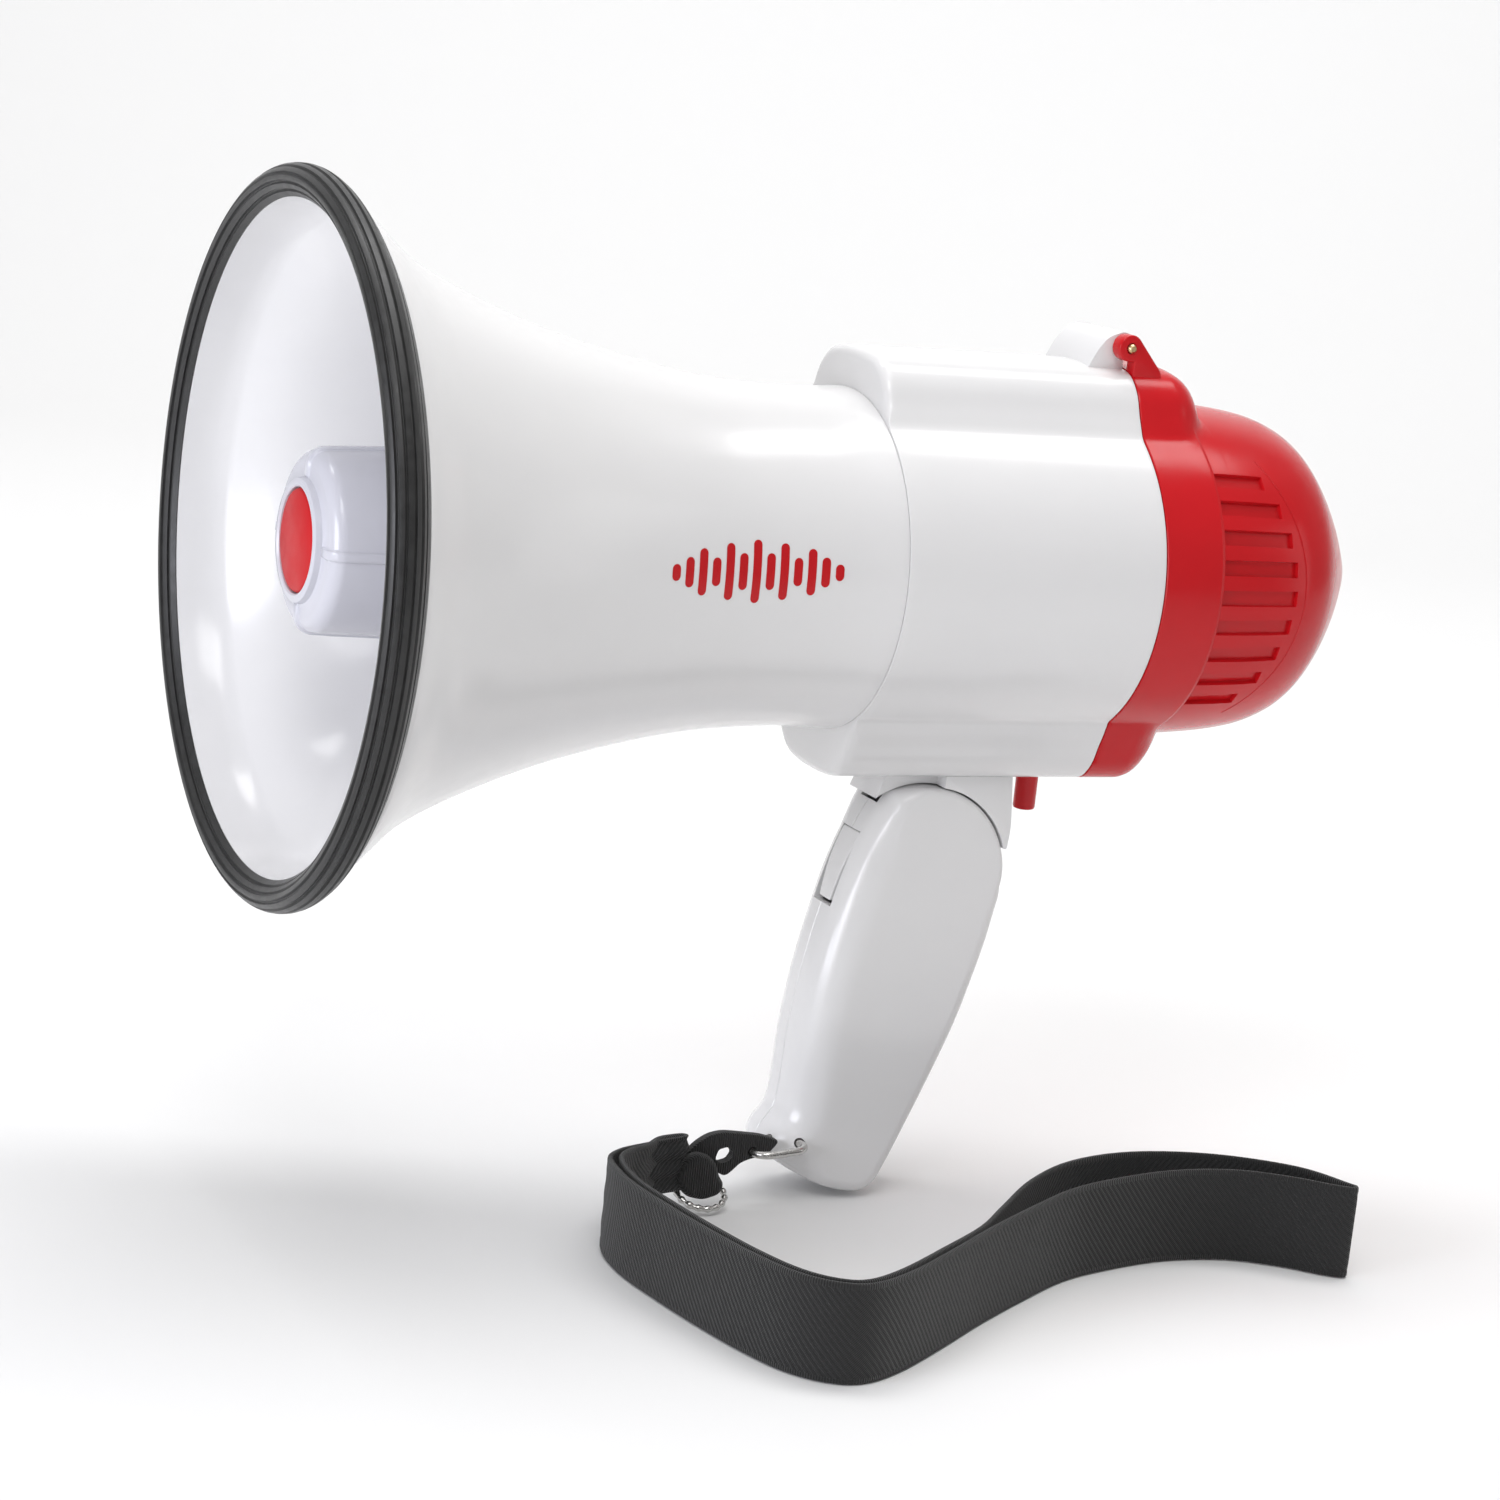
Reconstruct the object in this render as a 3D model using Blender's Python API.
"""Handheld megaphone, as an assembly of separate pieces.

The shapes are laid out in millimetres in the horn's own frame: X runs along the horn's axis from the
mouth (X = 0) to the rear cap, Z is up and -Y is the user's left-hand side. One empty carries the whole
assembly, so that the middle of the pistol grip is at the world's origin. Meshes are made in metres.
"""

import math

import bmesh
import bpy
from mathutils import Vector

MM = 0.001
GAP = 0.3  # clearance between pieces that touch

# Driving dimensions, in millimetres
GRIP_CENTRE = Vector((226.0, 0.0, -150.0))
SEAM_X = 192.0
BODY_RADIUS = 54.8
BODY_END_X = 282.2
WALL = 2.4
BULGE_HALF_WIDTH = 29.3
BULGE_TOP = 66.7
BULGE_BOTTOM = 68.6
RIM_FRONT_X = 5.4
HORN_EDGE_X = 9.7
CUP_FRONT_X = 15.0
CAP_TIP_X = 382.6
CAP_HINGE = Vector((281.0, 0.0, 73.0))
HINGE_EYE_RADIUS = 4.3
HINGE_PIN_RADIUS = 1.5
GRIP_PIVOT = Vector((229.5, 0.0, -101.0))
HEAD_RADIUS = 30.0
GRIP_HALF_WIDTH = 16.0
GRIP_SPINE = (Vector((229.5, -101.0)), Vector((209.0, -188.0)))  # (x, z) of the grip's middle line
GRIP_PIN_RADIUS = 3.0
TRIGGER_PIVOT = Vector((214.8, 0.0, -90.5))
TRIGGER_HALF_WIDTH = 5.6
LATCH_CENTRE = Vector((301.0, 0.0, -60.0))
BUTTON_CENTRE = Vector((272.5, 0.0, -72.0))
BUTTON_RADIUS = 3.7
BUTTON_LOW_Z = -81.4
STRAP_BAR = Vector((179.0, -15.0, -190.5))
CELL_RADIUS = 13.1
CELL_LENGTH = 50.0
CELL_OFFSET_Y = 13.6
CELL_LEVEL_Z = 38.6
CELLS_START_X = 199.7
WEBBING_WIDTH = 30.0
WEBBING_THICKNESS = 1.6
WEBBING_LOW_Z = -208.5

ROUND_STEPS = 40
SMALL_STEPS = 20


# ---------------------------------------------------------------- materials


def finish(name, colour, roughness, metallic=0.0):
    material = bpy.data.materials.new(name)
    material.use_nodes = True
    shader = material.node_tree.nodes["Principled BSDF"]
    shader.inputs["Base Color"].default_value = (*colour, 1.0)
    shader.inputs["Roughness"].default_value = roughness
    shader.inputs["Metallic"].default_value = metallic
    return material


WHITE = (0.86, 0.86, 0.88)
RED = (0.60, 0.02, 0.03)
BLACK = (0.03, 0.03, 0.03)
STEEL = (0.62, 0.62, 0.63)
FINISHES = {
    "white_gloss": (WHITE, 0.22, 0.0),
    "red_gloss": (RED, 0.22, 0.0),
    "black_rubber": (BLACK, 0.6, 0.0),
    "black_webbing": (BLACK, 0.85, 0.0),
    "black_plastic": ((0.05, 0.05, 0.05), 0.5, 0.0),
    "steel": (STEEL, 0.3, 1.0),
    "brass": ((0.72, 0.55, 0.28), 0.35, 1.0),
    "magnet": ((0.10, 0.10, 0.11), 0.6, 0.0),
    "diaphragm": ((0.75, 0.65, 0.35), 0.4, 0.0),
    "board_green": ((0.03, 0.22, 0.10), 0.5, 0.0),
    "foam": ((0.06, 0.06, 0.06), 0.95, 0.0),
    "cell_wrap": ((0.12, 0.16, 0.30), 0.35, 0.0),
}


# ---------------------------------------------------------------- assembly frames


def clear_scene():
    for item in list(bpy.data.objects):
        bpy.data.objects.remove(item, do_unlink=True)


def add_frame(name, place, parent=None):
    """An empty on a joint's axis. place is in the horn's frame, in millimetres."""
    empty = bpy.data.objects.new(name, None)
    empty.empty_display_size = 0.01
    bpy.context.scene.collection.objects.link(empty)
    if parent is None:
        empty.location = (place - GRIP_CENTRE) * MM
    else:
        empty.parent = parent[0]
        empty.location = (place - parent[1]) * MM
    return (empty, place)


def place_object(name, shape, frame):
    """Turns a bmesh made in the horn's frame into an object whose origin is the frame's empty."""
    bmesh.ops.remove_doubles(shape, verts=shape.verts, dist=0.001)
    bmesh.ops.recalc_face_normals(shape, faces=shape.faces)
    if shape.calc_volume(signed=True) < 0:
        bmesh.ops.reverse_faces(shape, faces=shape.faces)
    for vert in shape.verts:
        vert.co = (vert.co - frame[1]) * MM
    mesh = bpy.data.meshes.new(name)
    shape.to_mesh(mesh)
    shape.free()
    item = bpy.data.objects.new(name, mesh)
    bpy.context.scene.collection.objects.link(item)
    item.parent = frame[0]
    return item


def add_part(name, shape, finish_name, frame, smooth_angle=35.0):
    item = place_object(name, shape, frame)
    item.data.materials.append(MATERIALS[finish_name])
    item.data.shade_smooth()
    item.data.set_sharp_from_angle(angle=math.radians(smooth_angle))
    return item


def boolean(part, operation, shape, frame):
    """Adds a Boolean modifier with a hidden helper object made from shape."""
    helper = place_object(f"{part.name}_{operation.lower()}_{len(part.modifiers) + 1}", shape, frame)
    helper.hide_render = True
    helper.display_type = "WIRE"
    modifier = part.modifiers.new(helper.name, "BOOLEAN")
    modifier.operation = operation
    modifier.solver = "EXACT"
    modifier.object = helper


# ---------------------------------------------------------------- shape helpers

PLACE = {
    "X": lambda t, u, v: Vector((t, u, v)),
    "Y": lambda t, u, v: Vector((u, t, v)),
    "Z": lambda t, u, v: Vector((u, v, t)),
}


def bridge(shape, rows, ring):
    """Faces between rows of vertices. ring also joins the last row to the first one."""
    pairs = list(zip(rows, rows[1:]))
    if ring:
        pairs.append((rows[-1], rows[0]))
    for first, second in pairs:
        count = len(first)
        for i in range(count):
            j = (i + 1) % count
            corners = list(dict.fromkeys((first[i], first[j], second[j], second[i])))
            if len(corners) > 2:
                shape.faces.new(corners)


def turned(profile, axis="X", centre=(0, 0, 0), steps=ROUND_STEPS, ring=False):
    """Turns (along, radius) points about an axis. A solid's profile starts and ends on the axis."""
    shape = bmesh.new()
    centre = Vector(centre)
    rows = []
    for along, radius in profile:
        if radius < 1e-6:
            rows.append([shape.verts.new(centre + PLACE[axis](along, 0, 0))] * steps)
            continue
        row = []
        for i in range(steps):
            turn = 2 * math.pi * i / steps
            row.append(
                shape.verts.new(
                    centre + PLACE[axis](along, radius * math.cos(turn), radius * math.sin(turn))
                )
            )
        rows.append(row)
    bridge(shape, rows, ring)
    return shape


def rod(start, end, radius, axis="X", centre=(0, 0, 0), steps=SMALL_STEPS):
    return turned([(start, 0), (start, radius), (end, radius), (end, 0)], axis, centre, steps)


def washer(start, end, inner, outer, axis="X", centre=(0, 0, 0), steps=SMALL_STEPS):
    profile = [(start, inner), (start, outer), (end, outer), (end, inner)]
    return turned(profile, axis, centre, steps, ring=True)


def loft(sections, ring=False):
    """A skin through sections of equal length, closed by flat ends unless ring joins last to first."""
    shape = bmesh.new()
    rows = []
    for section in sections:
        rows.append([shape.verts.new(Vector(point)) for point in section])
    bridge(shape, rows, ring)
    if not ring:
        shape.faces.new(rows[0])
        shape.faces.new(rows[-1])
    return shape


def prism(outline, low, high, axis="Y"):
    """Extrudes a flat outline of (u, v) points from low to high along axis."""
    place = PLACE[axis]
    return loft([[place(t, u, v) for u, v in outline] for t in (low, high)])


def block(low, high):
    outline = [(low[0], low[2]), (high[0], low[2]), (high[0], high[2]), (low[0], high[2])]
    return prism(outline, low[1], high[1], "Y")


def merged(*shapes):
    """One bmesh with the faces of several, which stay separate closed bodies."""
    together = bmesh.new()
    for shape in shapes:
        mesh = bpy.data.meshes.new("merge_step")
        shape.to_mesh(mesh)
        shape.free()
        together.from_mesh(mesh)
        bpy.data.meshes.remove(mesh)
    return together


def smooth_line(points, steps):
    """A Catmull-Rom curve through the points, with steps pieces between each two of them."""
    points = [Vector(p) for p in points]
    ends = [2 * points[0] - points[1]] + points + [2 * points[-1] - points[-2]]
    line = []
    for i in range(1, len(ends) - 2):
        before, start, stop, after = ends[i - 1 : i + 3]
        for k in range(steps):
            t = k / steps
            line.append(
                0.5
                * (
                    2 * start
                    + (stop - before) * t
                    + (2 * before - 5 * start + 4 * stop - after) * t**2
                    + (3 * start - before - 3 * stop + after) * t**3
                )
            )
    line.append(points[-1])
    return line


def arc(centre, radius, start, stop, steps):
    """Points of a circle between two angles in degrees, as (u, v)."""
    line = []
    for k in range(steps + 1):
        turn = math.radians(start + (stop - start) * k / steps)
        line.append((centre[0] + radius * math.cos(turn), centre[1] + radius * math.sin(turn)))
    return line


def towards_spine(outline, depth):
    """The grip's outline moved in towards its middle line.

    depth gives the distance for how far a point faces front, from 0 to 1.
    """
    top, foot = GRIP_SPINE
    spine = foot - top
    moved = []
    for point in outline:
        point = Vector(point)
        share = min(max((point - top).dot(spine) / spine.length_squared, 0.0), 1.0)
        inwards = top + spine * share - point
        step = min(depth(max(0.0, inwards.normalized().x)), 0.8 * inwards.length)
        moved.append(tuple(point + inwards.normalized() * step))
    return moved


def offset_profile(profile, distance):
    """An open (x, r) profile moved towards the axis, at right angles to itself."""
    moved = []
    for i, point in enumerate(profile):
        before = Vector(profile[max(i - 1, 0)])
        after = Vector(profile[min(i + 1, len(profile) - 1)])
        along = (after - before).normalized()
        moved.append((point[0] + along.y * distance, point[1] - along.x * distance))
    return moved


def tube_along(line, radius, sides, closed=False):
    """A round tube along a line of points."""
    count = len(line)
    sections = []
    normal = None
    for i, point in enumerate(line):
        before = line[i - 1] if closed or i > 0 else point
        after = line[(i + 1) % count] if closed or i < count - 1 else point
        along = (after - before).normalized()
        if normal is None:
            normal = along.orthogonal()
        normal = (normal - along * normal.dot(along)).normalized()
        across = along.cross(normal)
        sections.append(
            [
                point
                + radius
                * (
                    math.cos(2 * math.pi * k / sides) * normal
                    + math.sin(2 * math.pi * k / sides) * across
                )
                for k in range(sides)
            ]
        )
    return loft(sections, ring=closed)


def coil_spring(foot, axis, length, radius, turns, wire):
    """A coil spring that starts at foot and runs along X, Y or Z."""
    steps = turns * 8
    line = []
    for k in range(steps + 1):
        turn = 2 * math.pi * turns * k / steps
        line.append(
            Vector(foot)
            + PLACE[axis](length * k / steps, radius * math.cos(turn), radius * math.sin(turn))
        )
    return tube_along(line, wire, 4)


# ---------------------------------------------------------------- outlines that several pieces share


def bulge_arch(half_width, crown, foot):
    """Half-round battery bulge from its right foot over the crown to its left foot, as (y, z).

    The sides lean in slightly, the corners are round and the top is slightly crowned.
    """
    right = [
        (half_width, foot),
        (half_width * 0.895, crown - 13.6),
        (half_width * 0.795, crown - 7.4),
        (half_width * 0.61, crown - 2.3),
        (half_width * 0.32, crown - 0.4),
        (0.0, crown),
    ]
    right = [tuple(p) for p in smooth_line(right, 2)]
    return right + [(-y, z) for y, z in reversed(right[:-1])]


def body_outline(inset):
    """The body's cross-section, as (y, z): a cylinder with a bulge on top and one below."""
    radius = BODY_RADIUS - inset
    half_width = BULGE_HALF_WIDTH - inset
    foot = math.sqrt(radius**2 - half_width**2)
    corner = math.degrees(math.atan2(foot, half_width))
    side = arc((0, 0), radius, -corner, corner, 12)
    top = bulge_arch(half_width, BULGE_TOP - inset, foot)
    bottom = [(-y, -z) for y, z in bulge_arch(half_width, BULGE_BOTTOM - inset, foot)]
    return side + top[1:-1] + [(-y, -z) for y, z in side] + bottom[1:-1]


def horn_profile():
    """The horn's outer (x, r) line from its edge to the seam."""
    flare = [
        (19.5, 103.0),
        (24.0, 99.7),
        (40.0, 86.8),
        (64.0, 75.4),
        (96.0, 64.6),
        (136.0, 56.0),
        (170.0, 53.3),
        (SEAM_X - GAP, 54.0),
    ]
    return [(HORN_EDGE_X, 103.0)] + [tuple(p) for p in smooth_line(flare, 2)]


def dome_profile():
    """The rear cap's outer (x, r) line from its open edge to its tip."""
    dome = [
        (BODY_END_X + GAP, BODY_RADIUS),
        (303.0, BODY_RADIUS),
        (318.0, 54.2),
        (331.0, 52.8),
        (340.0, 50.7),
        (348.0, 46.8),
        (355.0, 40.2),
        (363.0, 30.5),
        (371.0, 19.6),
        (378.0, 9.4),
        (CAP_TIP_X, 0.0),
    ]
    return dome


def grip_outline():
    """The grip's side view as (x, z), counterclockwise from behind the head over the top."""
    head = arc((GRIP_PIVOT.x, GRIP_PIVOT.z), HEAD_RADIUS, -6, 112, 11)
    front = [
        head[-1],
        (212.6, -82.5),
        (206.4, -97.5),
        (201.6, -115.0),
        (197.4, -135.0),
        (194.9, -155.0),
        (194.1, -171.0),
        (192.8, -180.5),
        (188.6, -187.0),
        (187.4, -191.5),
    ]
    toe = [(189.6, -195.3), (199.0, -201.2), (209.0, -205.2), (218.5, -206.9), (224.6, -205.0)]
    rear = [
        (228.6, -199.0),
        (236.0, -182.5),
        (243.0, -166.0),
        (249.2, -150.0),
        (254.0, -134.0),
        (257.6, -120.0),
        (259.3, -108.5),
    ]
    front_line = [tuple(p) for p in smooth_line(front, 2)]
    return head + front_line[1:] + toe + rear


# ---------------------------------------------------------------- horn and driver


def build_horn(root):
    outer = horn_profile()
    inner = [(HORN_EDGE_X, 100.4), (14.0, 100.2)] + offset_profile(outer[1:], WALL)
    bell = add_part("horn_bell", turned(outer + inner[::-1], ring=True), "white_gloss", root)
    boolean(bell, "DIFFERENCE", rod(SEAM_X - 34, SEAM_X + 5, 50.4, steps=ROUND_STEPS), root)

    rim = [(9.4, 103.3), (9.4, 100.4), (6.0, 104.3)]
    rim += [(RIM_FRONT_X, 105.2), (RIM_FRONT_X, 107.2)]
    rim += [(6.3, 108.7), (8.0, 109.9), (8.9, 110.2), (9.6, 109.4), (10.3, 110.4), (12.0, 110.4)]
    rim += [(12.7, 109.3), (13.4, 109.8), (14.8, 109.0), (15.4, 107.8), (16.2, 107.7)]
    rim += [(17.6, 106.1), (18.8, 104.2), (19.2, 103.3)]
    add_part("rim_bumper", turned(rim, ring=True), "black_rubber", root)


def build_reflector(root):
    front, back = CUP_FRONT_X, 118.0
    outer = [(front + 1.4, 0), (front + 1.4, 15.4), (front, 15.4), (front, 19.4)]
    outer += [(front + 6.5 - v, 21.0 + u) for u, v in arc((0, 0), 6.5, 90, 0, 6)]
    outer += [(60.0, 28.5), (back, 29.3), (back, 27.3), (60.0, 26.5), (front + 8.0, 25.0)]
    outer += [(front + 4.0, 21.0), (front + 4.0, 0)]
    cup = add_part("reflector_cup", turned(outer, steps=32), "white_gloss", root)
    for k in range(4):
        turn = math.pi / 2 * k
        rib_at = Vector((0, math.cos(turn), math.sin(turn)))
        side = Vector((0, -math.sin(turn), math.cos(turn)))
        line = [(front + 0.6, 17.5), (front - 0.5, 17.5), (front - 0.5, 21.5), (front + 2.0, 26.2)]
        line += [(front + 7.0, 28.2), (back, 29.9), (back, 28.3), (front + 9.0, 26.8), (front + 3.4, 24.4)]
        sections = [
            [Vector((x, 0, 0)) + rib_at * r + side * width for x, r in line] for width in (-1.5, 1.5)
        ]
        boolean(cup, "UNION", loft(sections), root)
    badge = [(front + 0.1, 0), (front + 0.1, 14.3), (front + 0.5, 14.9), (front + 1.1, 14.9)]
    add_part("badge_disc", turned(badge + [(front + 1.1, 0)], steps=32), "red_gloss", root)

    bore = [(36.0, 11.0), (60.0, 9.6), (160.0, 8.0)]
    skin = [(160.0, 10.0), (60.0, 11.6), (36.0, 13.0)]
    tube = add_part("throat_tube", turned(bore + skin, ring=True, steps=24), "black_plastic", root)
    for k in range(3):
        turn = 2 * math.pi * k / 3 + math.pi / 2
        out = Vector((0, math.cos(turn), math.sin(turn)))
        side = Vector((0, -math.sin(turn), math.cos(turn)))
        line = [(70.0, 10.2), (70.0, 26.2), (112.0, 26.7), (112.0, 9.6)]
        fin = [[Vector((x, 0, 0)) + out * r + side * width for x, r in line] for width in (-1.2, 1.2)]
        boolean(tube, "UNION", loft(fin), root)


def build_driver(root):
    plate = [(160.3, 8.2), (160.3, 50.0), (164.0, 50.0), (164.0, 26.0), (168.0, 26.0), (168.0, 22.5)]
    plate += [(164.0, 22.5), (164.0, 8.2)]
    add_part("driver_plate", turned(plate, ring=True, steps=24), "black_plastic", root)
    add_part("driver_gasket", washer(164.3, 165.6, 15.5, 22.2, steps=24), "black_rubber", root)
    dome = [(165.9, 0), (165.9, 9.0), (165.9, 22.0), (166.4, 22.0), (167.2, 14.0), (168.6, 7.0), (169.0, 0)]
    add_part("diaphragm", turned(dome, steps=24), "diaphragm", root)
    outline = [(186.0, 0), (186.0, 31.0), (170.6, 31.0), (170.6, 0)]
    add_part("driver_magnet", turned(outline, steps=32), "magnet", root)
    for k in range(2):
        turn = math.pi * k
        centre = (0, 40.0 * math.cos(turn), 40.0 * math.sin(turn))
        screw = [(164.3, 0), (164.3, 3.0), (166.6, 3.0), (166.6, 0)]
        add_part(f"driver_screw_{k + 1}", turned(screw, centre=centre, steps=12), "steel", root)


# ---------------------------------------------------------------- body shell and what it holds


def build_body(root):
    outer, inner = body_outline(0.0), body_outline(WALL)
    rows = [(SEAM_X + GAP, outer), (BODY_END_X, outer), (BODY_END_X, inner), (SEAM_X + GAP, inner)]
    skin = loft([[(x, y, z) for y, z in line] for x, line in rows], ring=True)
    shell = add_part("body_shell", skin, "white_gloss", root)
    for top in (True, False):
        boolean(shell, "UNION", bulge_front(top), root)
    eye = (CAP_HINGE.x, CAP_HINGE.z)
    lug = arc(eye, HINGE_EYE_RADIUS, -90, 125, 10)
    lug += [(275.6, 74.8), (272.0, 70.4), (270.5, 65.0), (BODY_END_X - 0.6, 65.0), (BODY_END_X - 0.6, 68.7)]
    boolean(shell, "UNION", prism(lug, -12.6, 12.6, "Y"), root)
    pin_hole = rod(-14, 14, HINGE_PIN_RADIUS + GAP, "Y", (CAP_HINGE.x, 0, CAP_HINGE.z))
    boolean(shell, "DIFFERENCE", pin_hole, root)
    button_hole = rod(-80, -50, BUTTON_RADIUS + 0.5, "Z", (BUTTON_CENTRE.x, BUTTON_CENTRE.y, 0))
    boolean(shell, "DIFFERENCE", button_hole, root)
    for x in (240.0, 252.0):
        boolean(shell, "DIFFERENCE", rod(-80, -50, 1.9, "Z", (x, 0, 0), 12), root)

    pin = [(-19.4, 0), (-19.4, HINGE_PIN_RADIUS), (19.4, HINGE_PIN_RADIUS), (19.4, 0)]
    add_part(
        "hinge_pin", turned(pin, "Y", (CAP_HINGE.x, 0, CAP_HINGE.z), SMALL_STEPS), "brass", root
    )


def bulge_front(top):
    """The front wall of a bulge, which closes it above the cylinder."""
    sign = 1 if top else -1
    crown = BULGE_TOP if top else BULGE_BOTTOM
    arch = bulge_arch(BULGE_HALF_WIDTH - 0.4, crown - 0.4, 46.0)
    line = arch + [(-BULGE_HALF_WIDTH + 2.0, 44.0)] + [
        (u, v) for u, v in arc((0, 0), 51.0, 122, 58, 8)
    ] + [(BULGE_HALF_WIDTH - 2.0, 44.0)]
    return prism([(sign * y, sign * z) for y, z in line], SEAM_X + GAP, SEAM_X + GAP + 2.6, "X")


def build_power(root):
    """Two trays with four C cells each, their contacts, the amplifier board and the bulkhead."""
    bulkhead = [(y, z) for y, z in arc((0, 0), BODY_RADIUS - WALL - GAP, -30, 30, 8)]
    bulkhead += [(-y, -z) for y, z in arc((0, 0), BODY_RADIUS - WALL - GAP, -30, 30, 8)]
    add_part("bulkhead", prism(bulkhead, 193.0, 195.0, "X"), "black_plastic", root)
    for name, sign in (("top", 1), ("bottom", -1)):
        level = sign * CELL_LEVEL_Z
        floor = sign * (CELL_LEVEL_Z - CELL_RADIUS - GAP)
        low, high = sorted((floor, floor - sign * 2.0))
        tray = block((CELLS_START_X, -25.6, low), (281.0, 25.6, high))
        tray = add_part(f"battery_tray_{name}", tray, "black_plastic", root)
        low, high = sorted((floor - sign, floor + sign * 6.0))
        boolean(tray, "UNION", block((CELLS_START_X, -1.0, low), (281.0, 1.0, high)), root)
        low, high = sorted((floor + sign * 2.0, floor + sign * 22.0))
        plate = block((195.3, -24.0, low), (196.1, 24.0, high))
        add_part(f"contact_plate_{name}", plate, "steel", root)
        for side, y in (("left", -CELL_OFFSET_Y), ("right", CELL_OFFSET_Y)):
            spring = coil_spring((196.9, y, level), "X", 2.0, 4.0, 2, 0.35)
            add_part(f"contact_spring_{name}_{side}", spring, "steel", root)
            for place, start in (("front", CELLS_START_X), ("rear", CELLS_START_X + CELL_LENGTH + 0.2)):
                end = start + CELL_LENGTH
                cell = [(start, 0), (start, CELL_RADIUS), (end - 1.5, CELL_RADIUS)]
                cell += [(end - 1.5, 3.0), (end, 3.0), (end, 0)]
                cell = turned(cell, centre=(0, y, level), steps=16)
                add_part(f"cell_{name}_{side}_{place}", cell, "cell_wrap", root)
    board_shape = block((205.0, -30.0, -0.8), (272.0, 30.0, 0.8))
    board = add_part("amplifier_board", board_shape, "board_green", root)
    transformer = ((212, -24, 0.5), (236, -8, 14))
    capacitor = ((215, 4, 0.5), (229, 22, 9))
    volume = ((240, -10, 0.5), (262, 14, 6))
    for low, high in (transformer, capacitor, volume):
        boolean(board, "UNION", block(low, high), root)


def build_button(root):
    """The red siren button under the body, and the switch above it."""
    frame = add_frame("siren_button_axis", BUTTON_CENTRE, root)
    x = BUTTON_CENTRE.x
    line = [(BUTTON_LOW_Z, 0), (BUTTON_LOW_Z, BUTTON_RADIUS - 0.6), (BUTTON_LOW_Z + 0.6, BUTTON_RADIUS)]
    line += [(-65.9, BUTTON_RADIUS)]
    line += [(-65.9, 4.8), (-64.7, 4.8), (-64.7, 0)]
    add_part("siren_button", turned(line, "Z", (x, 0, 0), 16), "red_gloss", frame)
    switch = block((x - 7, -6, -57.0), (x + 7, 6, -52.2))
    add_part("siren_switch", switch, "black_plastic", root)
    spring = coil_spring((x, 0, -64.0), "Z", 6.4, 2.4, 3, 0.35)
    add_part("button_spring", spring, "steel", root)


# ---------------------------------------------------------------- rear cap


def cap_lobe(top, inset):
    """The part of the cap that closes one bulge, with a rounded rear end inside the dome."""
    sign = 1 if top else -1
    crown = (BULGE_TOP if top else BULGE_BOTTOM) - inset
    half_width = BULGE_HALF_WIDTH - inset
    start = BODY_END_X + GAP - (5.0 if inset else 0.0)
    straight, depth = (296.0, 14.0) if top else (295.0, 13.0)
    sections = []
    for x, shrink in [(start, 0.0)] + [
        (straight + (depth - inset) * math.sin(math.radians(a)), 1 - math.cos(math.radians(a)))
        for a in (0, 20, 40, 55, 70, 82, 90)
    ]:
        arch = bulge_arch(half_width - 9.0 * shrink, crown - 17.0 * shrink, 46.0 - 17.0 * shrink)
        base = [(-half_width + 9.0 * shrink, 26.0), (half_width - 9.0 * shrink, 26.0)]
        sections.append([(x, sign * y, sign * z) for y, z in arch + base])
    return loft(sections)


def vent_cutters():
    """Nine blind slots on each side of the dome, longest in the middle."""
    cutters = []
    for side in (0, math.pi):
        for step in range(-4, 5):
            turn = side + math.radians(10.2 * step)
            out = Vector((0, -math.cos(turn), math.sin(turn)))
            across = Vector((0, math.sin(turn), math.cos(turn)))
            stop = 333.0 - 11.0 * (step / 4.0) ** 2
            line = [(303.5, 60.0), (303.5, 53.2), (317.0, 52.6), (stop, 53.9 - 0.13 * (stop - 303.5))]
            line += [(stop, 60.0)]
            sections = [
                [Vector((x, 0, 0)) + out * r + across * width for x, r in line] for width in (-2.6, 2.6)
            ]
            cutters.append(loft(sections))
    return merged(*cutters)


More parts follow.
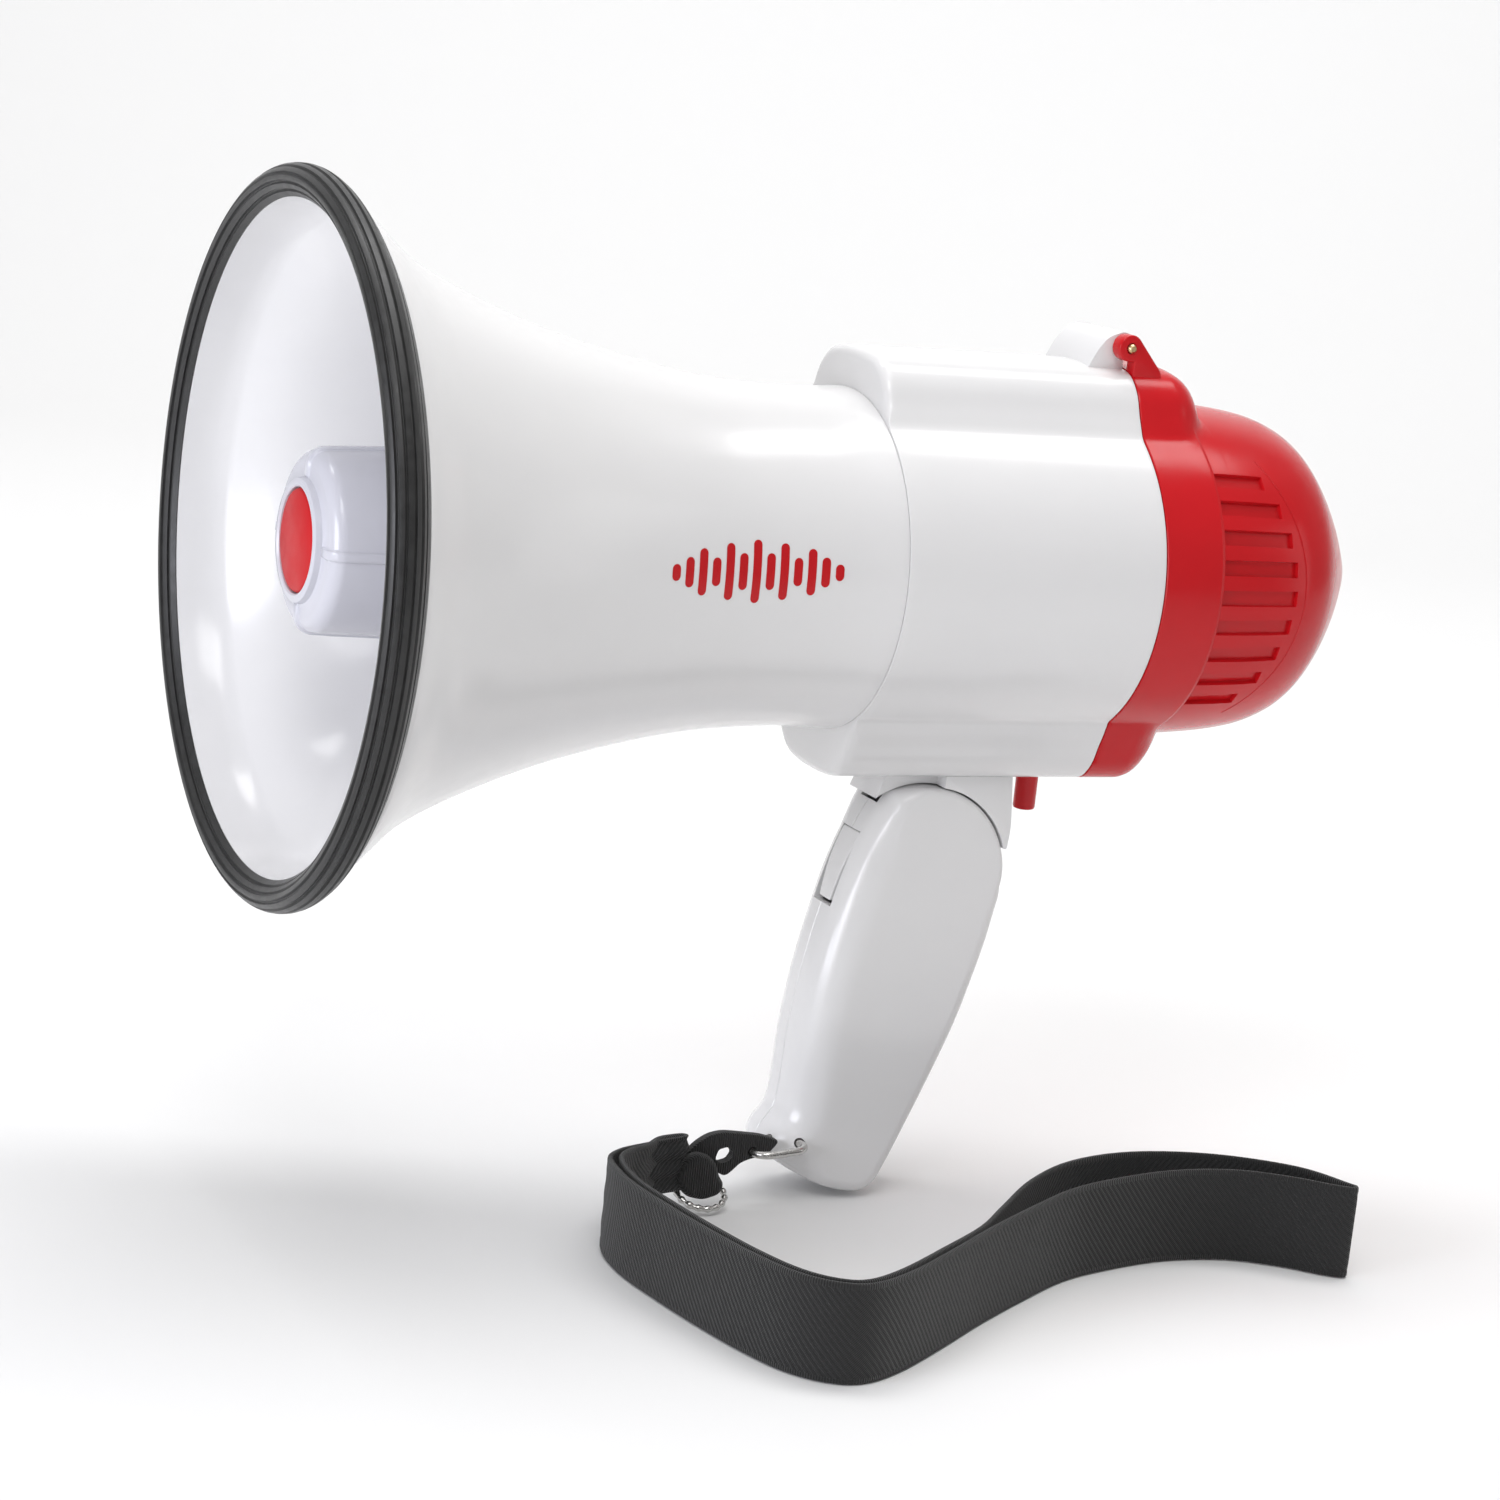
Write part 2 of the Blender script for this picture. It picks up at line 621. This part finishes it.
def build_cap(root):
    frame = add_frame("cap_hinge_axis", CAP_HINGE, root)
    dome = dome_profile()
    start = BODY_END_X + GAP
    outer = [(start, 0)] + dome
    cap = add_part("rear_cap", turned(outer), "red_gloss", frame)
    for top in (True, False):
        boolean(cap, "UNION", cap_lobe(top, 0.0), frame)
    thick = 3.6
    inner = offset_profile(dome, thick)[:-2]
    inner = [(start - 5.0, 0), (start - 5.0, BODY_RADIUS - thick)] + inner[1:] + [(inner[-1][0], 0)]
    boolean(cap, "DIFFERENCE", turned(inner), frame)
    for top in (True, False):
        boolean(cap, "DIFFERENCE", cap_lobe(top, 2.8), frame)
    boolean(cap, "DIFFERENCE", vent_cutters(), frame)
    eye = (CAP_HINGE.x, CAP_HINGE.z)
    ear = arc(eye, HINGE_EYE_RADIUS, 180, 270, 5)[:-1] + [(282.7, 68.6), (282.7, 63.0)]
    ear += [(293.0, 63.0), (293.0, 66.4), (290.2, 69.2), (284.4, 76.0)]
    ear += arc(eye, HINGE_EYE_RADIUS, 60, 170, 6)
    for low, high in ((-18.4, -13.4), (13.4, 18.4)):
        boolean(cap, "UNION", prism(ear, low, high, "Y"), frame)
    pin_hole = rod(-24, 24, HINGE_PIN_RADIUS + GAP, "Y", (CAP_HINGE.x, 0, CAP_HINGE.z))
    boolean(cap, "DIFFERENCE", pin_hole, frame)
    boolean(cap, "DIFFERENCE", rod(360.0, 390.0, 9.3, steps=32), frame)
    window = block((296.0, -8.6, -64.4), (312.0, 8.6, -55.6))
    boolean(cap, "DIFFERENCE", window, frame)
    boolean(cap, "UNION", block((288.5, -4.0, -52.0), (306.6, 4.0, -50.6)), frame)

    add_part("cap_seal", seal_ring(), "black_rubber", frame)
    grille = add_part(
        "mic_grille",
        turned([(372.0, 0), (372.0, 9.0), (378.4, 9.0), (381.0, 4.6), (CAP_TIP_X - 0.4, 0)], steps=24),
        "red_gloss",
        frame,
    )
    holes = []
    for k in range(6):
        turn = math.pi / 3 * (k + 0.25)
        centre = (0, 3.4 * math.cos(turn), 3.4 * math.sin(turn))
        holes.append(rod(370.0, 385.0, 1.0, centre=centre, steps=6))
    boolean(grille, "DIFFERENCE", merged(*holes), frame)
    add_part("mic_foam", rod(368.2, 371.7, 8.8, steps=24), "foam", frame)
    holder = [(358.0, 5.2), (358.0, 8.4), (367.9, 8.4), (367.9, 5.2)]
    add_part("mic_holder", turned(holder, steps=24, ring=True), "black_rubber", frame)
    add_part("mic_capsule", rod(360.0, 367.9, 4.9, steps=24), "steel", frame)
    for name, low, high in (("top", 33.0, 44.0), ("bottom", -44.0, -33.0)):
        strip = block((300.2, -20.0, low), (301.0, 20.0, high))
        add_part(f"cap_contact_{name}", strip, "steel", frame)

    latch_frame = add_frame("cap_latch_axis", LATCH_CENTRE, frame)
    tab = [(288.0, -58.0), (303.4, -58.0), (306.2, -62.0), (306.2, -63.6), (300.0, -63.6), (300.0, -61.0)]
    tab += [(288.0, -61.0)]
    add_part("cap_latch", prism(tab, -8.2, 8.2, "Y"), "red_gloss", latch_frame)
    spring = coil_spring((292.0, 0.0, -57.3), "Z", 5.0, 2.2, 3, 0.35)
    add_part("latch_spring", spring, "steel", frame)


def seal_ring():
    """A soft ring inside the cap's open edge, on the cylinder's two sides."""
    rows = []
    for x, radius in ((284.0, 46.0), (284.0, 49.4), (287.0, 49.4), (287.0, 46.0)):
        rows.append([(x, radius * math.cos(a), radius * math.sin(a)) for a in seal_angles()])
    return loft([list(row) for row in zip(*rows)])


def seal_angles():
    return [math.radians(-26 + 52 * k / 10) for k in range(11)]


# ---------------------------------------------------------------- bracket and grip


def build_bracket(root):
    """The bracket under the body. Its round seat guides the grip's head, its tongue carries the pin."""
    side_view = [(234.0, -62.0), (257.2, -62.0), (259.6, -85.0), (258.8, -91.4), (234.0, -91.4)]
    bracket = add_part(
        "grip_bracket", prism(side_view, -GRIP_HALF_WIDTH, GRIP_HALF_WIDTH, "Y"), "white_gloss", root
    )
    pivot = (GRIP_PIVOT.x, GRIP_PIVOT.z)
    saddle = prism([(219.0, -62.0), (215.5, -77.0), (236.0, -77.0), (236.0, -62.0)], -9.5, 9.5, "Y")
    boolean(bracket, "UNION", saddle, root)
    seat = rod(-20, 20, HEAD_RADIUS + 0.5, "Y", (pivot[0], 0, pivot[1]), 64)
    boolean(bracket, "DIFFERENCE", seat, root)
    tongue = arc(pivot, 11.0, 65, 371, 18) + [(258.6, -84.6), (252.4, -76.7)]
    boolean(bracket, "UNION", prism(tongue, -5.2, 5.2, "Y"), root)
    bore = rod(-10, 10, GRIP_PIN_RADIUS + GAP, "Y", (pivot[0], 0, pivot[1]))
    boolean(bracket, "DIFFERENCE", bore, root)
    line = bulge_arch(BULGE_HALF_WIDTH + GAP, BULGE_BOTTOM + GAP, 40.0)
    clearance = prism([(y, -z) for y, z in line], 205.0, 270.0, "X")
    boolean(bracket, "DIFFERENCE", clearance, root)
    for k, x in enumerate((240.0, 252.0)):
        boolean(bracket, "DIFFERENCE", rod(-76.0, -60.0, 1.6, "Z", (x, 0, 0), 12), root)
        screw = [(-75.0, 0), (-75.0, 1.3), (-65.9, 1.3), (-65.9, 3.0), (-64.1, 3.0), (-64.1, 0)]
        add_part(f"bracket_screw_{k + 1}", turned(screw, "Z", (x, 0, 0), 12), "steel", root)


def corner_radius(front):
    """The radius of the grip's edges: larger where the surface faces front."""
    return 5.0 + 7.0 * front


def grip_half(side):
    """One moulded half of the grip: an outer skin with a round edge and a hollow inside."""
    outline = grip_outline()
    flat = [GRIP_HALF_WIDTH - corner_radius(front_share(point)) for point in outline]
    rows = []
    for degrees in (90, 68, 45, 22, 0):
        turn = math.radians(degrees)
        line = towards_spine(outline, lambda front: corner_radius(front) * (1 - math.cos(turn)))
        width = [y + (GRIP_HALF_WIDTH - y) * math.sin(turn) for y in flat]
        rows.append([(x, side * y, z) for (x, z), y in zip(line, width)])
    wall_line = towards_spine(outline, lambda front: WALL)
    deep = towards_spine(outline, lambda front: WALL + 0.4 * corner_radius(front))
    rows.append([(x, side * 0.15, z) for x, z in outline])
    rows.append([(x, side * 0.15, z) for x, z in wall_line])
    rows.append([(x, side * y, z) for (x, z), y in zip(wall_line, flat)])
    rows.append([(x, side * (GRIP_HALF_WIDTH - WALL), z) for x, z in deep])
    return loft(rows)


def front_share(point):
    """How far an outline point faces the front, from 0 to 1."""
    top, foot = GRIP_SPINE
    spine = foot - top
    share = min(max((Vector(point) - top).dot(spine) / spine.length_squared, 0.0), 1.0)
    return max(0.0, (top + spine * share - Vector(point)).normalized().x)


def build_grip(root):
    frame = add_frame("grip_axis", GRIP_PIVOT, root)
    pivot = (GRIP_PIVOT.x, GRIP_PIVOT.z)
    slot = [pivot] + arc(pivot, 44.0, 24, 150, 12)
    trigger_window = [(196.0, -87.5), (222.0, -87.5), (222.0, -118.0), (196.0, -118.0)]
    for name, side in (("left", -1), ("right", 1)):
        shell = add_part(f"grip_shell_{name}", grip_half(side), "white_gloss", frame)
        boss_low, boss_high = sorted((side * 5.9, side * 14.4))
        boss = rod(boss_low, boss_high, 6.2, "Y", (pivot[0], 0, pivot[1]))
        boolean(shell, "UNION", boss, frame)
        hole = rod(-12.6, 12.6, GRIP_PIN_RADIUS + GAP, "Y", (pivot[0], 0, pivot[1]))
        boolean(shell, "DIFFERENCE", hole, frame)
        boolean(shell, "DIFFERENCE", prism(slot, -5.8, 5.8, "Y"), frame)
        gap = TRIGGER_HALF_WIDTH + 0.5
        boolean(shell, "DIFFERENCE", prism(trigger_window, -gap, gap, "Y"), frame)
        screw_at((232.0, -135.0), side, shell, frame)
        screw_at((211.0, -190.0), side, shell, frame)
    boolean(bpy.data.objects["grip_shell_left"], "DIFFERENCE", ring_tunnel(), frame)

    pin = rod(-12.3, 12.3, GRIP_PIN_RADIUS, "Y", (pivot[0], 0, pivot[1]))
    add_part("grip_pivot_pin", pin, "steel", frame)
    for k, (x, z) in enumerate(((232.0, -135.0), (211.0, -190.0))):
        screw = [(-9.0, 0), (-9.0, 1.3), (9.6, 1.3), (9.6, 2.8), (11.4, 2.8), (11.4, 0)]
        add_part(f"grip_screw_{k + 1}", turned(screw, "Y", (x, 0, z), 12), "steel", frame)
    switch = block((218.3, -5.0, -129.0), (228.3, 5.0, -112.8))
    add_part("talk_switch", switch, "black_plastic", frame)
    build_trigger(frame)
    build_strap(frame)


def screw_at(place, side, shell, frame):
    """A screw boss in one grip half: a deep counterbore on the right, a post on the left."""
    x, z = place
    low, high = sorted((side * 0.15, side * 15.0))
    boolean(shell, "UNION", rod(low, high, 4.4, "Y", (x, 0, z), 16), frame)
    boolean(shell, "DIFFERENCE", rod(-9.4, 9.5, 1.7, "Y", (x, 0, z), 12), frame)
    if side > 0:
        boolean(shell, "DIFFERENCE", rod(9.3, 20.0, 3.2, "Y", (x, 0, z), 12), frame)


def build_trigger(grip):
    """A curved lever in the front of the grip, tapered towards its lower end."""
    frame = add_frame("trigger_axis", TRIGGER_PIVOT, grip)
    pivot = (TRIGGER_PIVOT.x, TRIGGER_PIVOT.z)
    front = smooth_line([(210.2, -88.3), (206.3, -97.8), (203.6, -107.5), (201.9, -115.0)], 3)
    back = [(205.7, -115.6), (207.8, -108.0), (211.2, -99.0), (216.6, -90.0), (215.6, -87.9)]
    line = [tuple(p) for p in front] + back
    rows = []
    for share in (-1, 1):
        row = []
        for x, z in line:
            depth = (-89.0 - z) / 27.0
            row.append((x, share * (TRIGGER_HALF_WIDTH - 1.5 * max(depth, 0.0)), z))
        rows.append(row)
    lever = add_part("trigger", loft(rows), "white_gloss", frame)
    boolean(lever, "UNION", rod(-4.9, 4.9, 2.8, "Y", (pivot[0], 0, pivot[1]), 16), frame)
    arm = prism([(205.8, -112.2), (215.6, -113.4), (215.6, -116.0), (204.6, -115.2)], -3.0, 3.0, "Y")
    boolean(lever, "UNION", arm, frame)
    boolean(lever, "DIFFERENCE", rod(-8, 8, 1.1, "Y", (pivot[0], 0, pivot[1]), 12), frame)
    add_part("trigger_pin", rod(-9.5, 9.5, 0.8, "Y", (pivot[0], 0, pivot[1]), 12), "steel", grip)
    for side, shell in ((-1, "grip_shell_left"), (1, "grip_shell_right")):
        low, high = sorted((side * 6.2, side * 14.4))
        boss = rod(low, high, 2.4, "Y", (pivot[0], 0, pivot[1]), 12)
        boolean(bpy.data.objects[shell], "UNION", boss, grip)
        hole = rod(-10.2, 10.2, 1.1, "Y", (pivot[0], 0, pivot[1]), 12)
        boolean(bpy.data.objects[shell], "DIFFERENCE", hole, grip)
    seat = block((217.5, 0.15, -112.0), (219.3, 14.4, -107.0))
    boolean(bpy.data.objects["grip_shell_right"], "UNION", seat, grip)
    spring = coil_spring((208.6, 0.0, -109.4), "X", 8.2, 1.6, 4, 0.35)
    add_part("trigger_spring", spring, "steel", grip)


# ---------------------------------------------------------------- wrist strap


def ring_line(step_count):
    """The wire ring through the corner of the grip's toe, as a closed line with a straight front bar."""
    half, reach, corner = 7.0, 8.6, 4.5
    line = []
    for cx, cy, start in ((1, 1, 0), (-1, 1, 90), (-1, -1, 180), (1, -1, 270)):
        centre = (cx * (reach - corner), cy * (half - corner))
        line += arc(centre, corner, start, start + 90, step_count)
    middle = STRAP_BAR + Vector((8.6, 0.0, 0.9))
    return [middle + Vector((u, v, 0.1 * u)) for u, v in line]


def ring_tunnel():
    return tube_along(ring_line(6), 2.0, 8, closed=True)


def strap_route():
    """The webbing's middle line seen from above: out along the front layer, back along the rear one."""
    front = [
        (136.6, -24.0),
        (129.0, -38.0),
        (118.6, -50.0),
        (114.2, -70.0),
        (114.8, -95.0),
        (118.4, -117.0),
        (122.6, -136.0),
        (128.4, -152.5),
        (137.0, -162.6),
        (147.5, -165.2),
        (163.0, -158.0),
        (184.0, -143.0),
        (205.0, -127.0),
        (228.0, -111.0),
        (250.0, -97.0),
        (270.0, -89.5),
        (294.0, -84.5),
        (315.5, -86.5),
        (331.0, -95.0),
        (341.0, -104.0),
    ]
    fold = [(346.4, -107.6), (348.4, -106.4), (347.4, -103.6)]
    rear = [
        (339.0, -86.0),
        (317.0, -71.0),
        (290.0, -65.5),
        (264.0, -71.5),
        (241.0, -87.0),
        (220.0, -108.0),
        (203.5, -124.8),
        (182.6, -140.6),
        (161.8, -155.4),
        (147.6, -162.3),
        (138.7, -160.2),
        (131.0, -151.2),
        (125.4, -135.4),
        (121.3, -116.6),
        (117.7, -94.8),
        (117.2, -70.6),
        (121.6, -51.6),
        (131.8, -39.6),
        (139.4, -25.6),
    ]
    bend = [(140.2, -22.4), (138.4, -21.6)]
    return front + fold + rear + bend


def webbing_band():
    """A closed loop of webbing that stands on its edge."""
    line = [Vector((x, y, 0)) for x, y in strap_route()]
    count = len(line)
    sections = []
    for i, point in enumerate(line):
        along = (line[(i + 1) % count] - line[i - 1]).normalized()
        across = Vector((-along.y, along.x, 0)) * WEBBING_THICKNESS / 2
        low = point + Vector((0, 0, WEBBING_LOW_Z))
        high = low + Vector((0, 0, WEBBING_WIDTH))
        sections.append([low + across, low - across, high - across, high + across])
    return loft(sections, ring=True)


def build_strap(grip):
    add_part("strap_ring", tube_along(ring_line(5), 1.1, 6, closed=True), "steel", grip)
    frame = add_frame("strap_axis", STRAP_BAR, grip)
    x, z = STRAP_BAR.x, STRAP_BAR.z
    tab = arc((x, z), 3.4, -120, 120, 10) + [(157.6, z + 2.9), (155.9, z), (157.6, z - 2.9)]
    loop = add_part("strap_tab", prism(tab, -20.0, -10.0, "Y"), "black_webbing", frame)
    boolean(loop, "DIFFERENCE", rod(-30, 0, 2.3, "Y", (x, 0, z), 16), frame)
    boolean(loop, "DIFFERENCE", rod(-30, 0, 2.1, "Y", (159.9, 0, z), 16), frame)
    clasp = []
    for u, v in arc((0, 0), 9.0, 0, 345, 23):
        clasp.append(Vector((151.4 + u, -15.0 + 1.3 * v, z - 0.25 * (u - 9.0))))
    add_part("strap_clasp", tube_along(clasp, 1.0, 6, closed=True), "steel", frame)
    add_part("strap_webbing", webbing_band(), "black_webbing", frame)


# ---------------------------------------------------------------- the whole megaphone

clear_scene()
MATERIALS = {name: finish(name, *values) for name, values in FINISHES.items()}
ROOT = add_frame("megaphone", Vector((0, 0, 0)))
build_horn(ROOT)
build_reflector(ROOT)
build_driver(ROOT)
build_body(ROOT)
build_power(ROOT)
build_button(ROOT)
build_cap(ROOT)
build_bracket(ROOT)
build_grip(ROOT)
